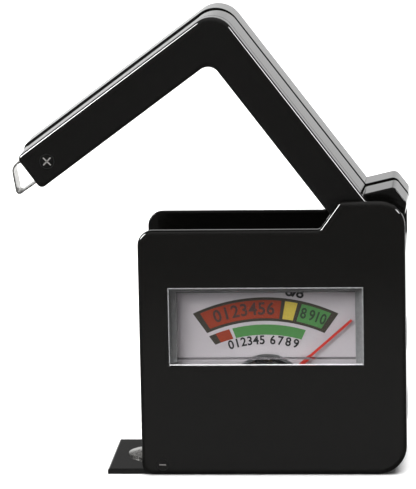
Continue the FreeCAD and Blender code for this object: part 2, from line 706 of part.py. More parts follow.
def arm_room(y0, y1):
    """The hollow of both legs, clear of the pin's boss."""
    outline = rounded_wire(arm_corners(False), y0).makeOffset2D(-ARM_WALL)
    room = Part.Face(outline).extrude(Vector(0, y1 - y0, 0))
    return room.cut(rod(PIN_X, PIN_Z, PIN_RADIUS + 2.0, y0 - 1, y1 + 1))


def strip_opening():
    """The mouth in the arm's end and in the inner side of leg 2, which bares the strip."""
    width = STRIP_HALF_WIDTH + STRIP_CLEARANCE
    outer = 1.3
    inner_end = LEG_2_LENGTH - 14.0
    corners = [
        leg_2_point(LEG_2_LENGTH + 5, outer) + (0,),
        leg_2_point(inner_end, outer) + (0,),
        leg_2_point(inner_end, LEG_2_WIDTH + 3) + (0,),
        leg_2_point(LEG_2_LENGTH + 5, LEG_2_WIDTH + 3) + (0,),
    ]
    return prism(corners, -width, width)


def tab_front_edges(shape):
    """The tab's front edges, from its first corner to the heel."""
    first_x = TAB_CORNERS[0][0] - 1
    last_z = TAB_CORNERS[2][1]
    found = []
    for edge in edges_in_plane(shape, TAB_FRONT):
        middle = edge.CenterOfMass
        if middle.x > first_x and middle.z > last_z:
            found.append(edge)
    return found


def arm_front_half():
    tab_share = (TAB_FRONT - ARM_FRONT) / (SEAM - ARM_FRONT)
    grow = ARM_DRAFT * tab_share
    slide = ARM_SLIDE * tab_share
    face = drafted(arm_corners(False), ARM_FRONT, TAB_FRONT, 0, grow, 0, slide)
    face = face.makeFillet(EDGE_ROUND, edges_in_plane(face, ARM_FRONT))
    rest = drafted(arm_corners(True), TAB_FRONT, SEAM, grow, ARM_DRAFT, slide, ARM_SLIDE)
    rest = rest.makeFillet(TAB_EDGE_ROUND, tab_front_edges(rest))
    rest = rest.makeChamfer(ARM_SEAM_CHAMFER, edges_in_plane(rest, SEAM))
    half = face.fuse(rest)
    half = half.cut(arm_room(ARM_FRONT + ARM_SKIN, SEAM + 1))
    half = half.cut(rod(PIN_X, PIN_Z, PIN_RADIUS, ARM_FRONT - 1, SEAM + 1))
    half = half.cut(strip_opening())
    return half.cut(plus_sign()).removeSplitter()


def plus_sign():
    """A shallow engraved plus in a ring, near the tip."""
    x, z = leg_2_point(LEG_2_LENGTH - 4.0, LEG_2_WIDTH / 2 + 0.2)
    depth = ARM_FRONT + 0.12
    bar = box(x - 0.95, x + 0.95, ARM_FRONT - 1, depth, z - 0.13, z + 0.13)
    sign = sign_ring(x, z, 1.35, 0.16, ARM_FRONT - 1, depth)
    for angle in (45, 135):
        sign = sign.fuse(turned(bar, angle, x, z))
    return sign


def arm_back_half():
    grow = ARM_DRAFT + ARM_STEP
    half = drafted(arm_corners(True), SEAM, ARM_BACK, grow, grow)
    half = half.makeFillet(EDGE_ROUND, edges_in_plane(half, ARM_BACK))
    half = half.cut(arm_room(SEAM - 1, ARM_BACK - ARM_SKIN))
    half = half.cut(rod(PIN_X, PIN_Z, PIN_RADIUS, SEAM - 1, ARM_BACK + 1))
    pocket = rod(PIN_X, PIN_Z, WASHER_RADIUS + 0.1, ARM_BACK - WASHER_THICK - WASHER_GAP, ARM_BACK + 1)
    return half.cut(pocket).cut(strip_opening()).removeSplitter()


def arm_pivot_pin():
    socket_front = PLATE_INNER_FRONT - PIN_SOCKET + PIN_END_GAP
    socket_back = PLATE_INNER_BACK + PIN_SOCKET - PIN_END_GAP
    pin = rod(PIN_X, PIN_Z, PIN_RADIUS, socket_front, socket_back)
    ends = edges_in_plane(pin, socket_front) + edges_in_plane(pin, socket_back)
    return pin.makeChamfer(0.2, ends)


def arm_friction_washer():
    y0 = ARM_BACK - WASHER_THICK - WASHER_GAP
    washer = rod(PIN_X, PIN_Z, WASHER_RADIUS, y0, y0 + WASHER_THICK)
    return washer.cut(rod(PIN_X, PIN_Z, PIN_RADIUS, y0 - 1, y0 + 1))


# Parts on leads

def resistor(x, z):
    y = RESISTOR_Y
    half = RESISTOR_LENGTH / 2
    body = rod_x(y, z, RESISTOR_RADIUS, x - half, x + half)
    waist = rod_x(y, z, RESISTOR_RADIUS + 1, x - half + 1.3, x + half - 1.3)
    waist = waist.cut(rod_x(y, z, RESISTOR_RADIUS - 0.15, x - half, x + half))
    body = body.cut(waist)
    for sign in (1, -1):
        lead = wire_tube([(x + sign * (half - 0.5), y, z), (x + sign * (half + 2.0), y, z),
                          (x + sign * (half + 2.0), y, z - RESISTOR_LEAD)], 2 * LEAD_RADIUS, 0.8)
        body = body.fuse(lead)
    return body.removeSplitter()


def negative_lead():
    x = LOAD_RESISTOR_X - LEAD_FOOT
    return wire_tube([
        (LEAF_TAIL_X - 1.2, 0, LEAF_TOP + 0.5),
        (LEAF_TAIL_X - 1.2, 0, LEAF_TOP + 4.0),
        (x - 4.0, 5.5, 13.0),
        (x, RESISTOR_Y, 15.0),
        (x, RESISTOR_Y, LOAD_RESISTOR_Z - RESISTOR_LEAD),
    ])


def positive_lead():
    x = LOAD_RESISTOR_X + LEAD_FOOT
    back = 8.6
    return wire_tube([
        (LEAD_HOLE_X, LEAD_HOLE_Y, CHANNEL_FLOOR - 0.3),
        (LEAD_HOLE_X, LEAD_HOLE_Y, ROOM_TOP - 2.5),
        (LEAD_HOLE_X, back, 30.0),
        (x, back, 22.0),
        (x, back, 14.0),
        (x, RESISTOR_Y, 14.0),
        (x, RESISTOR_Y, LOAD_RESISTOR_Z - RESISTOR_LEAD),
    ], bend=1.2)


def nine_volt_plus_lead():
    z = NINE_VOLT_LOW_Z + NINE_VOLT_PITCH
    x = SERIES_RESISTOR_X + LEAD_FOOT
    return wire_tube([
        (ROOM_RIGHT - 0.9, NINE_VOLT_Y + 3.6, z),
        (ROOM_RIGHT - 4.5, NINE_VOLT_Y + 3.6, z),
        (x, RESISTOR_Y - 3.0, z - 1.0),
        (x, RESISTOR_Y, z - 1.0),
        (x, RESISTOR_Y, SERIES_RESISTOR_Z - RESISTOR_LEAD),
    ], bend=1.2)


def nine_volt_minus_lead():
    z = NINE_VOLT_LOW_Z
    return wire_tube([
        (ROOM_RIGHT - 0.9, NINE_VOLT_Y + 3.6, z),
        (ROOM_RIGHT - 4.5, NINE_VOLT_Y + 3.6, z),
        (ROOM_RIGHT - 8.0, 4.6, z - 3.0),
        (-4.0, 5.6, 9.0),
        (-17.2, 3.2, 8.5),
        (LEAF_TAIL_X - 0.2, 1.0, LEAF_TOP + 0.5),
    ])


def arm_lead():
    """Runs inside the arm from the strip to the pin's boss."""
    down = -LEG_1_SLOPE
    middle = (ARM_FRONT + ARM_BACK) / 2
    start = leg_2_point(LEG_2_LENGTH - 9.6, 1.9)
    low = leg_2_point(9.0, 3.4)
    high = shifted(shifted(ELBOW, down, 8.5), down - 90, 3.3)
    end = shifted(shifted(ELBOW, down, 40.0), down - 90, 3.3)
    return wire_tube([(point[0], middle, point[1]) for point in (start, low, high, end)], bend=2.5)


def nodes():
    high = NINE_VOLT_LOW_Z + NINE_VOLT_PITCH
    jewel_front = BRIDGE_FRONT - 0.05
    jewel_back = BRIDGE_FRONT + BRIDGE_THICK + 0.05
    rear_front = YOKE_BACK - 0.1
    rear_back = YOKE_BACK + REAR_BRIDGE_THICK + 0.3
    return {
        "front_shell": front_shell(),
        "back_shell": back_shell(),
        "case_screws": case_screws(),
        "meter_cover": meter_cover(),
        "dial_plate": dial_plate(),
        "meter_frame": meter_frame(),
        "yoke_ring": yoke_ring(),
        "core_magnet": core_magnet(),
        "core_bars": core_bars(),
        "movement_bridge": movement_bridge(),
        "rear_bridge": rear_bridge(),
        "front_jewel_screw": jewel_screw(jewel_front, jewel_back, True),
        "rear_jewel_screw": jewel_screw(rear_front, rear_back, False),
        "front_hairspring": hairspring(FRONT_HAIRSPRING_Y),
        "rear_hairspring": hairspring(REAR_HAIRSPRING_Y),
        "coil_bobbin": coil_bobbin(),
        "coil_winding": coil_winding(),
        "pointer_shaft": pointer_shaft(),
        "pointer": pointer(),
        "negative_contact": negative_contact(),
        "nine_volt_plus_contact": nine_volt_contact(high),
        "nine_volt_minus_contact": nine_volt_contact(NINE_VOLT_LOW_Z),
        "load_resistor": resistor(LOAD_RESISTOR_X, LOAD_RESISTOR_Z),
        "series_resistor": resistor(SERIES_RESISTOR_X, SERIES_RESISTOR_Z),
        "negative_lead": negative_lead(),
        "positive_lead": positive_lead(),
        "nine_volt_plus_lead": nine_volt_plus_lead(),
        "nine_volt_minus_lead": nine_volt_minus_lead(),
        "arm_front_half": arm_front_half(),
        "arm_back_half": arm_back_half(),
        "arm_pivot_pin": arm_pivot_pin(),
        "arm_friction_washer": arm_friction_washer(),
        "positive_contact": positive_contact(),
        "arm_lead": arm_lead(),
    }


def main():
    os.makedirs("parts", exist_ok=True)
    for name, shape in nodes().items():
        print(name, shape.isValid(), len(shape.Solids), round(shape.Volume, 2))
        shape.exportStep("parts/" + name + ".step")


main()
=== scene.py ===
import bmesh
import bpy
import math
from mathutils import Matrix, Vector

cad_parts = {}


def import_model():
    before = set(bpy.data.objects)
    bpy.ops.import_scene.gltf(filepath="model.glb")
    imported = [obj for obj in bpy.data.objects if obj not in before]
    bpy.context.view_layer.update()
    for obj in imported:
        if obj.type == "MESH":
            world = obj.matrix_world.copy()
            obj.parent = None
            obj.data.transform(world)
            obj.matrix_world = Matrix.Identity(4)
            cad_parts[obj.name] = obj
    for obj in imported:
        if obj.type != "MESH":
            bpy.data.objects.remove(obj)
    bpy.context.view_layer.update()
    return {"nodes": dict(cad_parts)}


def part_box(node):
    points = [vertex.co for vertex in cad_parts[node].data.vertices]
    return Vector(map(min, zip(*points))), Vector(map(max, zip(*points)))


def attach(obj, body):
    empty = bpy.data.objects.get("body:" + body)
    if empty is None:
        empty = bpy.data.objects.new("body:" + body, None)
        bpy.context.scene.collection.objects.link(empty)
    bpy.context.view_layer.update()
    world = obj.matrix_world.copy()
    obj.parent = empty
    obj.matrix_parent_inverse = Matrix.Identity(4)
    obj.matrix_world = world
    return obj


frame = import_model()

# Camera: looks slightly down and from the right
CAMERA_AZIMUTH = math.radians(4.322)
CAMERA_ELEVATION = math.radians(10.456)
CAMERA_ROLL = math.radians(-1.118)
CAMERA_DISTANCE = 0.61067
CAMERA_LENS = 256.72
CAMERA_TARGET = Vector((-0.01097, -0.012, 0.04161))

# Dial printing, in metres: the arcs share one centre, and the ends of the zones fan out from another
ARC_X = -0.0014
ARC_Z = 0.00162
FAN_Z = 0.0102
PRINT_THICK = 0.00003
LAYER_SHARE = 0.9
BAND_INNER = 0.02545
BAND_OUTER = 0.02970
BAND_BORDER = 0.00050
LOWER_INNER = 0.02295
LOWER_OUTER = 0.02480

# Ends of the printed zones, as angles of the fan in degrees, from left to right
BAND_ENDS = (125.1, 54.4)
RED_ENDS = (122.3, 81.9)
YELLOW_ENDS = (80.0, 73.9)
GREEN_ENDS = (71.8, 57.3)
LOW_START_ENDS = (125.3, 121.3)
LOW_RED_ENDS = (121.3, 112.6)
LOW_GREEN_ENDS = (110.7, 64.7)

# Rows of numbers: name, texts, ink, size and radius in metres, ends in degrees, layer and squeeze
BAND_MIDDLE = (BAND_INNER + BAND_OUTER) / 2
BOLD = 0.022
NUMBER_ROWS = (
    ("red", "0123456", "number", 0.0031, BAND_MIDDLE, (115.5, 87.0), 3, 0.95),
    ("green", ("8", "9", "10"), "number_green", 0.0027, BAND_MIDDLE, (69.5, 60.6), 3, 0.8),
    ("top", "678", "black", 0.0026, 0.0310, (79.0, 74.0), 1, 1.1),
    ("low_left", "012345", "black", 0.0022, 0.02195, (116.0, 92.5), 1, 0.95),
    ("low_right", "6789", "black", 0.0022, 0.02195, (84.5, 67.0), 1, 0.95),
)
INKS = {
    "border": (0.062, 0.052, 0.038),
    "red": (0.39, 0.052, 0.018),
    "yellow": (0.76, 0.58, 0.09),
    "green": (0.100, 0.32, 0.088),
    "number": (0.100, 0.048, 0.040),
    "number_green": (0.042, 0.078, 0.040),
    "black": (0.018, 0.018, 0.020),
}

# Window, in metres: the cover's nose, its walls, and the bars round its front that are painted highlights for
# the light caught in the clear edge
NOSE_WIDTH = 0.0343
NOSE_HEIGHT = 0.0140
NOSE_X = -0.0011
NOSE_Z = 0.02685
WALL_SIDE = 0.0014
WALL_TOP = 0.0010
WELL_FRONT = -0.00915
WELL_BACK = -0.00885
WELL_REACH = 0.0004
WELL_BEVEL = 0.00008
# Painted highlights round the cover's front: width of the bars, raise of the bottom one, depth, how far
# proud, and bevel
HIGHLIGHT_WIDTH = 0.00016
HIGHLIGHT_RAISE = 0.00012
HIGHLIGHT_DEPTH = 0.00012
HIGHLIGHT_PROUD = 0.00003
HIGHLIGHT_BEVEL = 0.00004

# Signs moulded into the plastic, the plus filled with paint and the minus given a painted highlight: centres,
# ring radii and bars, in metres
PLUS_X = -0.039209
PLUS_Z = 0.056216
PLUS_RING = (0.00135, 0.00119)
PLUS_REACH = 0.00095
MINUS_X = -0.0198
MINUS_Z = 0.0019
MINUS_RING = (0.00115, 0.00097)
MINUS_REACH = 0.0006
SIGN_STROKE = 0.00024
SIGN_FRONT = 0.00007
SIGN_BACK = 0.00012
RING_STEPS = 40

# Metals: density of the fine lines, and how much of the brightness a stain leaves
METAL_GRAIN = 2500.0
METAL_STAIN = 0.75

# Resistors: the body, the bright leads and the colours of the rings
RESISTOR_TAN = (0.50, 0.36, 0.20)
RESISTOR_LEADS = (0.62, 0.60, 0.58)
BAND_WIDTH = 0.05
BAND_BLACK = (0.01, 0.01, 0.01)
BAND_BROWN = (0.30, 0.12, 0.03)
BAND_RED = (0.55, 0.03, 0.02)
BAND_ORANGE = (0.40, 0.18, 0.02)
BAND_GOLD = (0.50, 0.36, 0.05)

# Floor
FLOOR_RADIUS = 8.0

# Lamps: name, place, the point it faces, width and height, brightness, and whether matt and shiny
# surfaces see it. The softboxes only draw the highlights on the edges.
LAMPS = (
    ("left_softbox", (-0.47, -0.03, 0.36), (0, 0, 0.04), (0.20, 0.34), 48.0, False, True),
    ("right_softbox", (0.46, -0.03, 0.35), (0, 0, 0.04), (0.20, 0.16), 26.0, False, True),
    ("ceiling", (0.0, 0.20, 1.20), (0, 0, 0.0), (1.6, 1.6), 6.5, True, False),
    ("front_fill", (-0.35, -0.60, 0.45), (0, 0, 0.03), (0.4, 0.4), 6.6, True, False),
)

# What shiny surfaces mirror, as (height above the horizon, brightness): a white table and a low white
# backdrop straight behind the object, dark screens beside it, and a dim room in front of it. The edges
# say how far back a direction points where one gives way to the next.
BACKDROP = (
    (-1.0, 0.04), (-0.32, 0.04), (-0.27, 1.30), (-0.15, 1.40), (-0.085, 0.95), (-0.03, 0.86), (0.05, 0.92),
    (0.12, 0.98), (0.19, 0.88), (0.215, 0.14), (0.60, 0.14), (1.0, 0.50),
)
SCREENS = ((-1.0, 0.04), (-0.50, 0.10), (-0.05, 0.12), (0.60, 0.16), (1.0, 0.50))
ROOM = (
    (-1.0, 0.04), (-0.50, 0.06), (-0.30, 0.28), (-0.235, 0.33), (-0.205, 0.26), (-0.190, 0.12), (-0.12, 0.13),
    (0.30, 0.14), (0.70, 0.24), (1.0, 0.50),
)
ROOM_EDGE = (-0.85, -0.60)
BACKDROP_EDGE = (0.84, 0.93)


# Materials

class Shader:
    """A Principled material with a few helpers for its procedural detail."""

    def __init__(self, name, colour, roughness, metallic=0.0):
        self.material = bpy.data.materials.new(name)
        self.material.use_nodes = True
        self.nodes = self.material.node_tree.nodes
        self.links = self.material.node_tree.links
        self.bsdf = self.nodes["Principled BSDF"]
        self.bsdf.inputs["Base Color"].default_value = (*colour, 1.0)
        self.bsdf.inputs["Roughness"].default_value = roughness
        self.bsdf.inputs["Metallic"].default_value = metallic
        self.coordinates = self.nodes.new("ShaderNodeTexCoord").outputs["Object"]
        self.normal = None

    def stretched(self, scale):
        mapping = self.nodes.new("ShaderNodeMapping")
        mapping.inputs["Scale"].default_value = scale
        self.links.new(self.coordinates, mapping.inputs["Vector"])
        return mapping.outputs["Vector"]

    def noise(self, scale, detail=3.0, vector=None, distortion=0.0):
        node = self.nodes.new("ShaderNodeTexNoise")
        node.inputs["Scale"].default_value = scale
        node.inputs["Detail"].default_value = detail
        node.inputs["Distortion"].default_value = distortion
        self.links.new(vector or self.coordinates, node.inputs["Vector"])
        return node.outputs["Fac"]

    def ramp(self, value, low, high, from_low=0.35, from_high=0.65):
        node = self.nodes.new("ShaderNodeMapRange")
        node.inputs["From Min"].default_value = from_low
        node.inputs["From Max"].default_value = from_high
        node.inputs["To Min"].default_value = low
        node.inputs["To Max"].default_value = high
        self.links.new(value, node.inputs["Value"])
        return node.outputs["Result"]

    def vary_colour(self, value, low, high):
        node = self.nodes.new("ShaderNodeMix")
        node.data_type = "RGBA"
        node.inputs["A"].default_value = (*low, 1.0)
        node.inputs["B"].default_value = (*high, 1.0)
        self.links.new(value, node.inputs["Factor"])
        self.links.new(node.outputs["Result"], self.bsdf.inputs["Base Color"])

    def vary_roughness(self, value, low, high):
        self.links.new(self.ramp(value, low, high), self.bsdf.inputs["Roughness"])

    def bump(self, value, distance):
        node = self.nodes.new("ShaderNodeBump")
        node.inputs["Distance"].default_value = distance
        node.inputs["Strength"].default_value = 1.0
        self.links.new(value, node.inputs["Height"])
        if self.normal is not None:
            self.links.new(self.normal, node.inputs["Normal"])
        self.normal = node.outputs["Normal"]
        self.links.new(self.normal, self.bsdf.inputs["Normal"])


def gloss_black(name, tint):
    """Moulded plastic: polished, with faint flow lines, handling marks and dust specks."""
    shader = Shader(name, tint, 0.03)
    shader.bsdf.inputs["IOR"].default_value = 1.45
    smudges = shader.noise(90.0, 4.0, distortion=0.6)
    shader.vary_roughness(smudges, 0.02, 0.045)
    specks = shader.noise(2600.0, 2.0)
    shader.vary_colour(shader.ramp(specks, 0.0, 1.0, 0.62, 0.74), tint, tuple(1.8 * c for c in tint))
    flow = shader.noise(300.0, 2.0, shader.stretched((1.0, 0.12, 1.0)))
    shader.bump(flow, 0.0000008)
    return shader.material


def clear_plastic():
    """Polished acrylic; lamps shine through it without being bent."""
    shader = Shader("clear_plastic", (0.97, 0.98, 0.98), 0.03)
    shader.bsdf.inputs["Transmission Weight"].default_value = 1.0
    shader.bsdf.inputs["IOR"].default_value = 1.49
    shader.bsdf.inputs["Specular IOR Level"].default_value = 0.30
    shader.vary_roughness(shader.noise(160.0, 5.0), 0.01, 0.04)
    shader.bump(shader.noise(300.0, 1.0), 0.000002)
    path = shader.nodes.new("ShaderNodeLightPath")
    clear = shader.nodes.new("ShaderNodeBsdfTransparent")
    clear.inputs["Color"].default_value = (0.92, 0.93, 0.93, 1.0)
    mix = shader.nodes.new("ShaderNodeMixShader")
    shader.links.new(path.outputs["Is Shadow Ray"], mix.inputs["Fac"])
    shader.links.new(shader.bsdf.outputs["BSDF"], mix.inputs[1])
    shader.links.new(clear.outputs["BSDF"], mix.inputs[2])
    shader.links.new(mix.outputs["Shader"], shader.nodes["Material Output"].inputs["Surface"])
    return shader.material


def card(name, colour):
    """Matt paper with fine fibres."""
    shader = Shader(name, colour, 0.5)
    shader.bsdf.inputs["Specular IOR Level"].default_value = 0.06
    fibres = shader.noise(3200.0, 4.0, shader.stretched((1.0, 1.0, 3.0)))
    shader.vary_colour(shader.ramp(fibres, 0.0, 1.0), tuple(0.94 * c for c in colour), colour)
    shader.vary_roughness(shader.noise(800.0), 0.42, 0.6)
    shader.bump(fibres, 0.000004)
    return shader.material


def ink(name, colour):
    """Matt printing ink, a little mottled."""
    shader = Shader(name, colour, 0.45)
    shader.bsdf.inputs["Specular IOR Level"].default_value = 0.06
    mottle = shader.noise(4200.0, 3.0)
    shader.vary_colour(shader.ramp(mottle, 0.0, 1.0), tuple(0.86 * c for c in colour), colour)
    shader.vary_roughness(mottle, 0.35, 0.55)
    shader.bump(mottle, 0.000003)
    return shader.material


def moulded_plastic(name, colour, roughness=0.5, shine=0.5):
    """Plain plastic or paint with a fine grain."""
    shader = Shader(name, colour, roughness)
    shader.bsdf.inputs["Specular IOR Level"].default_value = shine
    grain = shader.noise(1800.0, 4.0)
    shader.vary_colour(shader.ramp(grain, 0.0, 1.0), tuple(0.85 * c for c in colour), colour)
    shader.vary_roughness(grain, roughness - 0.08, roughness + 0.08)
    shader.bump(grain, 0.00001)
    return shader.material


def metal(name, colour, roughness, brushed=(1.0, 1.0, 1.0)):
    """Fine lines along the brushed direction, and darker stains."""
    shader = Shader(name, colour, roughness, 1.0)
    lines = shader.noise(METAL_GRAIN, 4.0, shader.stretched(brushed))
    stains = shader.noise(260.0, 4.0, distortion=0.8)
    shader.vary_colour(shader.ramp(stains, 0.0, 1.0), tuple(METAL_STAIN * c for c in colour), colour)
    shader.vary_roughness(lines, 0.7 * roughness, 1.4 * roughness)
    shader.bump(lines, 0.000003)
    return shader.material


def magnet_wire():
    """Enamelled copper, turn beside turn, with painted shade in the grooves between turns."""
    shader = Shader("copper_wire", (0.45, 0.16, 0.05), 0.3, 0.9)
    wave = shader.nodes.new("ShaderNodeTexWave")
    wave.inputs["Scale"].default_value = 1600.0
    wave.inputs["Distortion"].default_value = 0.4
    wave.bands_direction = "Y"
    shader.links.new(shader.coordinates, wave.inputs["Vector"])
    # The bands are darker in the grooves between turns: painted shade.
    shader.vary_colour(wave.outputs["Fac"], (0.30, 0.10, 0.03), (0.58, 0.24, 0.08))
    shader.bump(wave.outputs["Fac"], 0.00002)
    return shader.material


def banded_resistor(node, name, bands):
    """A tan body with colour rings across its length, and bright leads beyond its ends."""
    low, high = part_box(node)
    shader = Shader(name, RESISTOR_TAN, 0.35)
    separate = shader.nodes.new("ShaderNodeSeparateXYZ")
    shader.links.new(shader.coordinates, separate.inputs["Vector"])
    ramp = shader.nodes.new("ShaderNodeValToRGB")
    ramp.color_ramp.interpolation = "CONSTANT"
    stops = [(0.0, RESISTOR_LEADS), (0.20, RESISTOR_TAN)]
    for place, colour in bands:
        stops.append((place, colour))
        stops.append((place + BAND_WIDTH, RESISTOR_TAN))
    stops.append((0.80, RESISTOR_LEADS))
    ramp.color_ramp.elements[0].position = 0.0
    ramp.color_ramp.elements[0].color = (*stops[0][1], 1.0)
    ramp.color_ramp.elements[1].position = stops[1][0]
    ramp.color_ramp.elements[1].color = (*stops[1][1], 1.0)
    for place, colour in stops[2:]:
        ramp.color_ramp.elements.new(place).color = (*colour, 1.0)
    along = shader.ramp(separate.outputs["X"], 0.0, 1.0, low.x, high.x)
    shader.links.new(along, ramp.inputs["Fac"])
    shader.links.new(ramp.outputs["Color"], shader.bsdf.inputs["Base Color"])
    shader.vary_roughness(shader.noise(1500.0), 0.28, 0.42)
    shader.bump(shader.noise(2200.0), 0.000006)
    return shader.material


def floor_material():
    shader = Shader("pale_floor", (0.93, 0.93, 0.93), 0.8)
    grain = shader.noise(900.0, 2.0)
    shader.vary_colour(shader.ramp(grain, 0.0, 1.0), (0.915, 0.915, 0.915), (0.935, 0.935, 0.935))
    return shader.material


# Geometry helpers

def mesh_object(name, builder, material, body):
    """Makes a piece that rides on a body and carries the material it is given."""
    mesh = bpy.data.meshes.new(name)
    shape = bmesh.new()
    builder(shape)
    bmesh.ops.recalc_face_normals(shape, faces=shape.faces)
    shape.to_mesh(mesh)
    shape.free()
    piece = bpy.data.objects.new(name, mesh)
    bpy.context.scene.collection.objects.link(piece)
    mesh.materials.append(material)
    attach(piece, body)


def add_slab(shape, outline, y_front, y_back):
    """A flat slab from an outline of (x, z) points, between two depths."""
    front = [shape.verts.new((x, y_front, z)) for x, z in outline]
    back = [shape.verts.new((x, y_back, z)) for x, z in outline]
    shape.faces.new(front)
    shape.faces.new(back[::-1])
    count = len(outline)
    for index in range(count):
        following = (index + 1) % count
        shape.faces.new((front[following], front[index], back[index], back[following]))


def fan_point(radius, angle):
    """The point on an arc of the dial that a line from the fan's centre reaches at an angle in degrees."""
    step = Vector((math.cos(math.radians(angle)), math.sin(math.radians(angle))))
    rise = FAN_Z - ARC_Z
    along = -rise * step.y + math.sqrt((rise * step.y) ** 2 + radius ** 2 - rise ** 2)
    return ARC_X + along * step.x, FAN_Z + along * step.y


def band_outline(inner, outer, start, end):
    """A zone between two arcs, with a point about every degree."""
    steps = max(2, int(abs(start - end)))
    angles = [start + (end - start) * index / steps for index in range(steps + 1)]
    return [fan_point(outer, angle) for angle in angles] + [fan_point(inner, angle) for angle in angles[::-1]]


# Dial

def print_band(name, inner, outer, ends, material, layer):
    """A printed zone; each layer lies in front of the one before it."""
    front = dial_face - PRINT_THICK * layer
    back = front + PRINT_THICK * LAYER_SHARE
    outline = band_outline(inner, outer, *ends)
    mesh_object(name, lambda shape: add_slab(shape, outline, front, back), material, "case")


def numeral(text, size, x, z, turn, y, material, name, squeeze):
    """A number as a flat mesh on the dial, turned by an angle in radians."""
    curve = bpy.data.curves.new(name, "FONT")
    curve.body = text
    curve.size = size
    curve.offset = size * BOLD
    curve.align_x = "CENTER"
    curve.align_y = "CENTER"
    curve.extrude = PRINT_THICK / 2
    curve.resolution_u = 4
    source = bpy.data.objects.new(name + "_source", curve)
    bpy.context.scene.collection.objects.link(source)
    bpy.context.view_layer.update()
    mesh = bpy.data.meshes.new_from_object(source.evaluated_get(bpy.context.evaluated_depsgraph_get()))
    bpy.data.objects.remove(source)
    upright = Matrix.Rotation(math.radians(90), 4, "X")
    place = Matrix.Translation((x, y, z)) @ Matrix.Rotation(-turn, 4, "Y") @ upright
    mesh.transform(place @ Matrix.Scale(squeeze, 4, (1, 0, 0)))
    mesh.materials.clear()
    mesh.materials.append(material)
    piece = bpy.data.objects.new(name, mesh)
    bpy.context.scene.collection.objects.link(piece)
    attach(piece, "case")


def numeral_row(name, texts, material, size, radius, ends, layer, squeeze):
    """Numbers along an arc, evenly spread between two angles."""
    y = dial_face - PRINT_THICK * layer
    start, end = ends
    for index, text in enumerate(texts):
        x, z = fan_point(radius, start + (end - start) * index / (len(texts) - 1))
        turn = math.atan2(z - ARC_Z, x - ARC_X) - math.pi / 2
        numeral(text, size, x, z, turn, y, material, f"dial_number_{name}_{index}", squeeze)


def dial():
    """Coloured zones, and generic numbers in the places of the lettering."""
    inks = {name: ink("ink_" + name, colour) for name, colour in INKS.items()}
    zone_inner = BAND_INNER + BAND_BORDER
    zone_outer = BAND_OUTER - BAND_BORDER
    print_band("dial_border", BAND_INNER, BAND_OUTER, BAND_ENDS, inks["border"], 1)
    for name, ends in (("red", RED_ENDS), ("yellow", YELLOW_ENDS), ("green", GREEN_ENDS)):
        print_band("dial_zone_" + name, zone_inner, zone_outer, ends, inks[name], 2)
    print_band("dial_low_start", LOWER_INNER, LOWER_OUTER, LOW_START_ENDS, inks["border"], 1)
    print_band("dial_low_red", LOWER_INNER, LOWER_OUTER, LOW_RED_ENDS, inks["red"], 1)
    print_band("dial_low_green", LOWER_INNER, LOWER_OUTER, LOW_GREEN_ENDS, inks["green"], 1)
    for name, texts, colour, size, radius, ends, layer, squeeze in NUMBER_ROWS:
        numeral_row(name, texts, inks[colour], size, radius, ends, layer, squeeze)


# Window

def add_bars(shape, boxes, y_front, y_back, bevel):
    """Bars along sides of the window, with their front edges bevelled."""
    for x0, x1, z0, z1 in boxes:
        before = set(shape.edges)
        add_slab(shape, [(x0, z0), (x1, z0), (x1, z1), (x0, z1)], y_front, y_back)
        front = [edge for edge in shape.edges if edge not in before
                 and all(abs(vert.co.y - y_front) < 1e-7 for vert in edge.verts)]
        bmesh.ops.bevel(shape, geom=front, offset=bevel, segments=2, affect="EDGES", profile=0.6)


def edge_highlight_bars():
    """Boxes along the left, right and top edge of the cover's nose, carrying a painted highlight."""
    low, high = nose
    return ((low.x, low.x + HIGHLIGHT_WIDTH, low.z, high.z), (high.x - HIGHLIGHT_WIDTH, high.x, low.z, high.z),
            (low.x + HIGHLIGHT_WIDTH, high.x - HIGHLIGHT_WIDTH, high.z - HIGHLIGHT_WIDTH, high.z))


def well_walls():
    """Boxes that close the gap between the dial and the left, right and top wall of the nose."""
    low, high = nose
    left, right = low.x + WALL_SIDE, high.x - WALL_SIDE
    return ((low.x - WELL_REACH, left, low.z, high.z), (right, high.x + WELL_REACH, low.z, high.z),
            (left, right, high.z - WALL_TOP, high.z))


def window():
    """The grey well round the dial, its grey partly painted shade, and bars at the clear cover's edge painted
    as the light caught there.
    """
    # The well is partly a frame closing the gap behind the cover's walls and partly painted shade: its grey
    # is set to darken the walls seen through the cover.
    well = moulded_plastic("well_painted_shade", (0.34, 0.33, 0.335), 0.4)
    # Painted highlights: pale bars round the cover's front and a white bar across its bottom stand for the
    # light caught in the clear edge.
    pale = moulded_plastic("painted_edge_highlight", (0.30, 0.30, 0.31), 0.3)
    bright = moulded_plastic("painted_lip_highlight", (0.92, 0.92, 0.93), 0.3)
    low, high = nose
    bottom_highlight = ((low.x, high.x, low.z + HIGHLIGHT_RAISE, low.z + HIGHLIGHT_RAISE + HIGHLIGHT_WIDTH),)
    highlight_depths = (low.y - HIGHLIGHT_PROUD, low.y + HIGHLIGHT_DEPTH)
    for name, boxes, depths, bevel, material, slot in (
            ("window_well", well_walls(), (WELL_FRONT, WELL_BACK), WELL_BEVEL, well, "frame_black"),
            ("window_edge_highlight", edge_highlight_bars(), highlight_depths, HIGHLIGHT_BEVEL, pale, "clear_plastic"),
            ("window_lip_highlight", bottom_highlight, highlight_depths, HIGHLIGHT_BEVEL, bright, "clear_plastic")):
        mesh_object(name, lambda shape: add_bars(shape, boxes, *depths, bevel), material, "case")


# Signs

def sign_bar(x, z, reach, angle):
    """Outline of a stroke through (x, z), turned by an angle in degrees."""
    along = Vector((math.cos(math.radians(angle)), math.sin(math.radians(angle))))
    across = Vector((-along.y, along.x)) * SIGN_STROKE / 2
    middle = Vector((x, z))
    start, end = middle - along * reach, middle + along * reach
    return [tuple(corner) for corner in (start - across, end - across, end + across, start + across)]


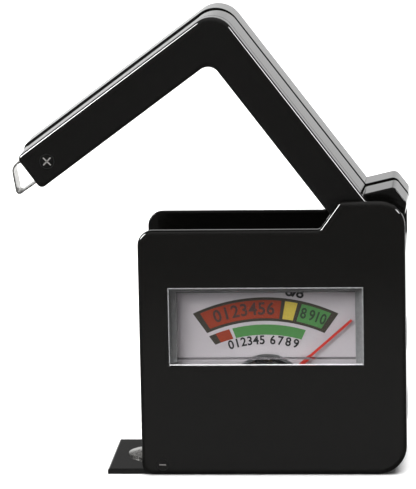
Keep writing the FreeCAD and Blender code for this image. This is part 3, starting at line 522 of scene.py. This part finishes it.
def add_ring(shape, x, z, radii, y_front, y_back):
    """A flat ring about (x, z), built from short slabs."""
    corners = []
    for index in range(RING_STEPS):
        angle = 2 * math.pi * index / RING_STEPS
        corners.append([[shape.verts.new((x + radius * math.cos(angle), y, z + radius * math.sin(angle)))
                         for radius in radii] for y in (y_front, y_back)])
    for index in range(RING_STEPS):
        here, there = corners[index], corners[(index + 1) % RING_STEPS]
        for side in (0, 1):
            shape.faces.new((here[side][0], here[side][1], there[side][1], there[side][0]))
            shape.faces.new((here[0][side], here[1][side], there[1][side], there[0][side]))


def sign(name, node, place, ring, reach, angles, body):
    """Pale strokes in a darker ring at the bottom of an engraved sign: paint on the plus, a painted highlight
    on the minus.
    """
    stroke = moulded_plastic(name + "_paint", (0.30, 0.29, 0.28), 0.5)
    circle = moulded_plastic(name + "_ring_paint", (0.012, 0.012, 0.012), 0.5)
    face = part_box(node)[0].y
    depths = (face + SIGN_FRONT, face + SIGN_BACK)
    x, z = place

    def build_strokes(shape):
        for angle in angles:
            add_slab(shape, sign_bar(x, z, reach, angle), *depths)

    mesh_object(name, build_strokes, stroke, body)
    mesh_object(name + "_ring", lambda shape: add_ring(shape, x, z, ring, *depths), circle, body)


def signs():
    sign("plus", "arm_front_half", (PLUS_X, PLUS_Z), PLUS_RING, PLUS_REACH, (45, 135), "arm")
    # On the minus the pale strokes are a painted highlight for the faint glint along its engraving.
    sign("minus", "front_shell", (MINUS_X, MINUS_Z), MINUS_RING, MINUS_REACH, (0,), "case")


# Camera, floor and light

def camera():
    """Placed by its angles and its distance from the target, then rolled."""
    sin_a, cos_a = math.sin(CAMERA_AZIMUTH), math.cos(CAMERA_AZIMUTH)
    sin_e, cos_e = math.sin(CAMERA_ELEVATION), math.cos(CAMERA_ELEVATION)
    right = Vector((cos_a, sin_a, 0))
    up = Vector((-sin_a * sin_e, cos_a * sin_e, cos_e))
    forward = Vector((-sin_a * cos_e, cos_a * cos_e, -sin_e))
    cos_r, sin_r = math.cos(CAMERA_ROLL), math.sin(CAMERA_ROLL)
    right, up = cos_r * right + sin_r * up, cos_r * up - sin_r * right
    data = bpy.data.cameras.new("camera")
    data.lens = CAMERA_LENS
    data.clip_start = 0.01
    data.clip_end = 50.0
    view = bpy.data.objects.new("camera", data)
    view.matrix_world = Matrix.Translation(CAMERA_TARGET - forward * CAMERA_DISTANCE) @ Matrix(
        (right, up, -forward)).transposed().to_4x4()
    bpy.context.scene.collection.objects.link(view)
    bpy.context.scene.camera = view


def floor():
    mesh = bpy.data.meshes.new("floor")
    shape = bmesh.new()
    bmesh.ops.create_circle(shape, cap_ends=True, segments=96, radius=FLOOR_RADIUS)
    shape.to_mesh(mesh)
    shape.free()
    ground = bpy.data.objects.new("floor", mesh)
    bpy.context.scene.collection.objects.link(ground)
    mesh.materials.append(floor_material())
    # Shiny plastic mirrors the world instead, and in the clear cover the floor would haze the dial
    ground.visible_glossy = False
    ground.visible_transmission = False


def area_light(name, place, target, size, radiance, diffuse, glossy):
    """An oval lamp whose power follows from its brightness and area."""
    data = bpy.data.lights.new(name, "AREA")
    data.shape = "ELLIPSE"
    data.size, data.size_y = size
    data.energy = radiance * math.pi * (math.pi / 4 * size[0] * size[1])
    lamp = bpy.data.objects.new(name, data)
    lamp.location = place
    lamp.rotation_euler = (Vector(target) - Vector(place)).to_track_quat("-Z", "Y").to_euler()
    lamp.visible_diffuse = diffuse
    lamp.visible_glossy = glossy
    lamp.visible_camera = False
    bpy.context.scene.collection.objects.link(lamp)


def sky_ramp(nodes, links, height, name, stops):
    """Brightness by height above the horizon, from -1 straight down to 1 straight up."""
    ramp = nodes.new("ShaderNodeValToRGB")
    ramp.name = name
    elements = ramp.color_ramp.elements
    while len(elements) > 1:
        elements.remove(elements[-1])
    for index, (level, value) in enumerate(stops):
        element = elements[0] if index == 0 else elements.new((level + 1) / 2)
        element.position = (level + 1) / 2
        element.color = (value, value, value, 1.0)
    links.new(height, ramp.inputs["Fac"])
    return ramp.outputs["Color"]


def sky_blend(nodes, links, depth, first, second, edge):
    """Passes from one ramp to another as the direction turns from the front to the back."""
    turn = nodes.new("ShaderNodeMapRange")
    turn.interpolation_type = "SMOOTHSTEP"
    turn.inputs["From Min"].default_value, turn.inputs["From Max"].default_value = edge
    links.new(depth, turn.inputs["Value"])
    blend = nodes.new("ShaderNodeMix")
    blend.data_type = "RGBA"
    links.new(turn.outputs["Result"], blend.inputs["Factor"])
    links.new(first, blend.inputs["A"])
    links.new(second, blend.inputs["B"])
    return blend.outputs["Result"]


def world():
    """Light from all round, by the height and depth of its direction."""
    sky = bpy.data.worlds.new("studio")
    bpy.context.scene.world = sky
    sky.use_nodes = True
    nodes = sky.node_tree.nodes
    links = sky.node_tree.links
    coordinates = nodes.new("ShaderNodeTexCoord")
    separate = nodes.new("ShaderNodeSeparateXYZ")
    links.new(coordinates.outputs["Generated"], separate.inputs["Vector"])
    height = nodes.new("ShaderNodeMapRange")
    height.inputs["From Min"].default_value = -1.0
    links.new(separate.outputs["Z"], height.inputs["Value"])
    level = height.outputs["Result"]
    room = sky_ramp(nodes, links, level, "room", ROOM)
    screens = sky_ramp(nodes, links, level, "screens", SCREENS)
    backdrop = sky_ramp(nodes, links, level, "backdrop", BACKDROP)
    depth = separate.outputs["Y"]
    near = sky_blend(nodes, links, depth, room, screens, ROOM_EDGE)
    colour = sky_blend(nodes, links, depth, near, backdrop, BACKDROP_EDGE)
    links.new(colour, nodes["Background"].inputs["Color"])
    nodes["Background"].inputs["Strength"].default_value = 1.0


def lights():
    for lamp in LAMPS:
        area_light(*lamp)


# Dress the CAD nodes

def paint(names, material):
    for name in names:
        node = frame["nodes"][name]
        node.data.materials.clear()
        node.data.materials.append(material)


def dress_nodes():
    """A material for every node of the frame."""
    paint(("front_shell", "back_shell"), gloss_black("case_plastic", (0.0040, 0.0038, 0.0034)))
    paint(("arm_front_half", "arm_back_half"), gloss_black("arm_plastic", (0.0042, 0.0041, 0.0038)))
    paint(("meter_cover",), clear_plastic())
    paint(("dial_plate",), card("dial_card", (0.69, 0.63, 0.665)))
    paint(("meter_frame",), moulded_plastic("frame_plastic", (0.02, 0.02, 0.02)))
    paint(("movement_bridge",), moulded_plastic("bridge_paint", (0.016, 0.013, 0.012), 0.4, 0.08))
    paint(("pointer",), ink("pointer_lacquer", (0.70, 0.035, 0.02)))
    paint(("negative_contact", "positive_contact"),
          metal("nickel_strip", (0.72, 0.71, 0.68), 0.24, (1, 6, 1)))
    paint(("nine_volt_plus_contact", "nine_volt_minus_contact"),
          metal("nickel_rivet", (0.74, 0.73, 0.71), 0.2))
    paint(("case_screws", "arm_pivot_pin", "arm_friction_washer", "pointer_shaft"),
          metal("bright_steel", (0.56, 0.56, 0.57), 0.28, (1, 5, 1)))
    paint(("core_bars", "rear_bridge", "front_jewel_screw", "rear_jewel_screw"),
          metal("turned_brass", (0.72, 0.52, 0.22), 0.25))
    paint(("front_hairspring", "rear_hairspring"), metal("bronze_spring", (0.62, 0.40, 0.20), 0.3))
    paint(("yoke_ring",), metal("zinc_iron", (0.42, 0.42, 0.43), 0.42))
    paint(("core_magnet",), metal("magnet", (0.16, 0.16, 0.17), 0.5))
    paint(("coil_bobbin",), metal("bobbin_sheet", (0.75, 0.75, 0.76), 0.3))
    paint(("coil_winding",), magnet_wire())
    paint(("positive_lead", "nine_volt_plus_lead", "arm_lead"),
          moulded_plastic("red_insulation", (0.42, 0.02, 0.015)))
    paint(("negative_lead", "nine_volt_minus_lead"),
          moulded_plastic("black_insulation", (0.02, 0.02, 0.02)))
    for node, first, second, third in (
            ("load_resistor", BAND_BROWN, BAND_BLACK, BAND_BLACK),
            ("series_resistor", BAND_ORANGE, BAND_RED, BAND_BROWN)):
        paint((node,), banded_resistor(node, node + "_bands", (
            (0.30, first), (0.42, second), (0.54, third), (0.68, BAND_GOLD))))


dial_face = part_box("dial_plate")[0].y
cover_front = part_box("meter_cover")[0].y
nose = (Vector((NOSE_X - NOSE_WIDTH / 2, cover_front, NOSE_Z - NOSE_HEIGHT / 2)),
        Vector((NOSE_X + NOSE_WIDTH / 2, cover_front, NOSE_Z + NOSE_HEIGHT / 2)))
camera()
floor()
world()
lights()
dress_nodes()
dial()
window()
signs()
bpy.context.scene.view_settings.view_transform = "Standard"
